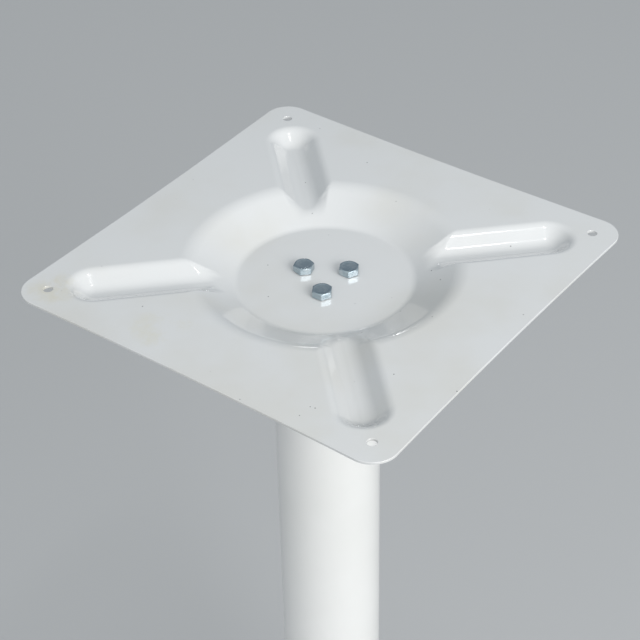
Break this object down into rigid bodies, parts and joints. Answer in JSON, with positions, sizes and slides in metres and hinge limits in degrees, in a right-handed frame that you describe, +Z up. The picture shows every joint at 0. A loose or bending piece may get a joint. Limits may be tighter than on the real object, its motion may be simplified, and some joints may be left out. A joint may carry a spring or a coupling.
{
  "type": "pedestal table base",
  "caption": "Table base: pressed square mounting plate with a round dish and diagonal beads, bolted on a round column over a weighted round foot with screw glides.",
  "frame": {"origin": "on the floor, on the column's axis", "axes": "+Z up along the column; the plate's sides lie along X and Y and its beads along the diagonals; one plate bolt stands towards +Y"},
  "size_m": [0.4527, 0.4528, 0.72],
  "materials": {
    "plate_paint": "gloss off-white powder coat, faintly stained, chipped at the bolt holes",
    "column_paint": "gloss white powder coat",
    "cover_paint": "gloss white powder coat, scuffed near the edge",
    "zinc_plate": "bluish bright zinc plate",
    "mill_steel": "cut and drilled mild steel, lightly oiled",
    "cast_iron": "sand cast, one coat of black primer",
    "edge_trim": "soft black vinyl extrusion",
    "glide_nylon": "moulded black nylon"
  },
  "bodies": {
    "stand": {"top_plate": "plate_paint", "column_tube": "column_paint", "column_top_plug": "mill_steel", "column_bottom_plug": "mill_steel", "base_cover": "cover_paint", "base_edge_trim": "edge_trim", "base_weight": "cast_iron", "base_clamp_plate": "mill_steel", "top_bolt_1": "zinc_plate", "top_bolt_2": "zinc_plate", "top_bolt_3": "zinc_plate", "base_bolt_1": "zinc_plate", "base_bolt_2": "zinc_plate", "base_bolt_3": "zinc_plate", "base_lock_washer_1": "zinc_plate", "base_lock_washer_2": "zinc_plate", "base_lock_washer_3": "zinc_plate"},
    "glide_foot_1": {"glide_pad_1": "glide_nylon"},
    "glide_screw_1": {"glide_stud_1": "zinc_plate"},
    "glide_foot_2": {"glide_pad_2": "glide_nylon"},
    "glide_screw_2": {"glide_stud_2": "zinc_plate"},
    "glide_foot_3": {"glide_pad_3": "glide_nylon"},
    "glide_screw_3": {"glide_stud_3": "zinc_plate"},
    "glide_foot_4": {"glide_pad_4": "glide_nylon"},
    "glide_screw_4": {"glide_stud_4": "zinc_plate"}
  },
  "joints": [
    {"name": "glide_1_travel", "type": "slide", "parent": "stand", "child": "glide_foot_1", "axis": [0, 0, -1], "range_m": [0, 0.01]},
    {"name": "glide_1_turn", "type": "hinge", "parent": "glide_foot_1", "child": "glide_screw_1", "pos_m": [0.12728, 0.12728, 0.01], "axis": [0, 0, -1], "range_deg": [0, 2880]},
    {"name": "glide_2_travel", "type": "slide", "parent": "stand", "child": "glide_foot_2", "axis": [0, 0, -1], "range_m": [0, 0.01]},
    {"name": "glide_2_turn", "type": "hinge", "parent": "glide_foot_2", "child": "glide_screw_2", "pos_m": [-0.12728, 0.12728, 0.01], "axis": [0, 0, -1], "range_deg": [0, 2880]},
    {"name": "glide_3_travel", "type": "slide", "parent": "stand", "child": "glide_foot_3", "axis": [0, 0, -1], "range_m": [0, 0.01]},
    {"name": "glide_3_turn", "type": "hinge", "parent": "glide_foot_3", "child": "glide_screw_3", "pos_m": [-0.12728, -0.12728, 0.01], "axis": [0, 0, -1], "range_deg": [0, 2880]},
    {"name": "glide_4_travel", "type": "slide", "parent": "stand", "child": "glide_foot_4", "axis": [0, 0, -1], "range_m": [0, 0.01]},
    {"name": "glide_4_turn", "type": "hinge", "parent": "glide_foot_4", "child": "glide_screw_4", "pos_m": [0.12728, -0.12728, 0.01], "axis": [0, 0, -1], "range_deg": [0, 2880]}
  ],
  "couplings": [
    {"joint": "glide_1_travel", "follows": "glide_1_turn", "m_per_rad": 0.00019894},
    {"joint": "glide_2_travel", "follows": "glide_2_turn", "m_per_rad": 0.00019894},
    {"joint": "glide_3_travel", "follows": "glide_3_turn", "m_per_rad": 0.00019894},
    {"joint": "glide_4_travel", "follows": "glide_4_turn", "m_per_rad": 0.00019894}
  ]
}
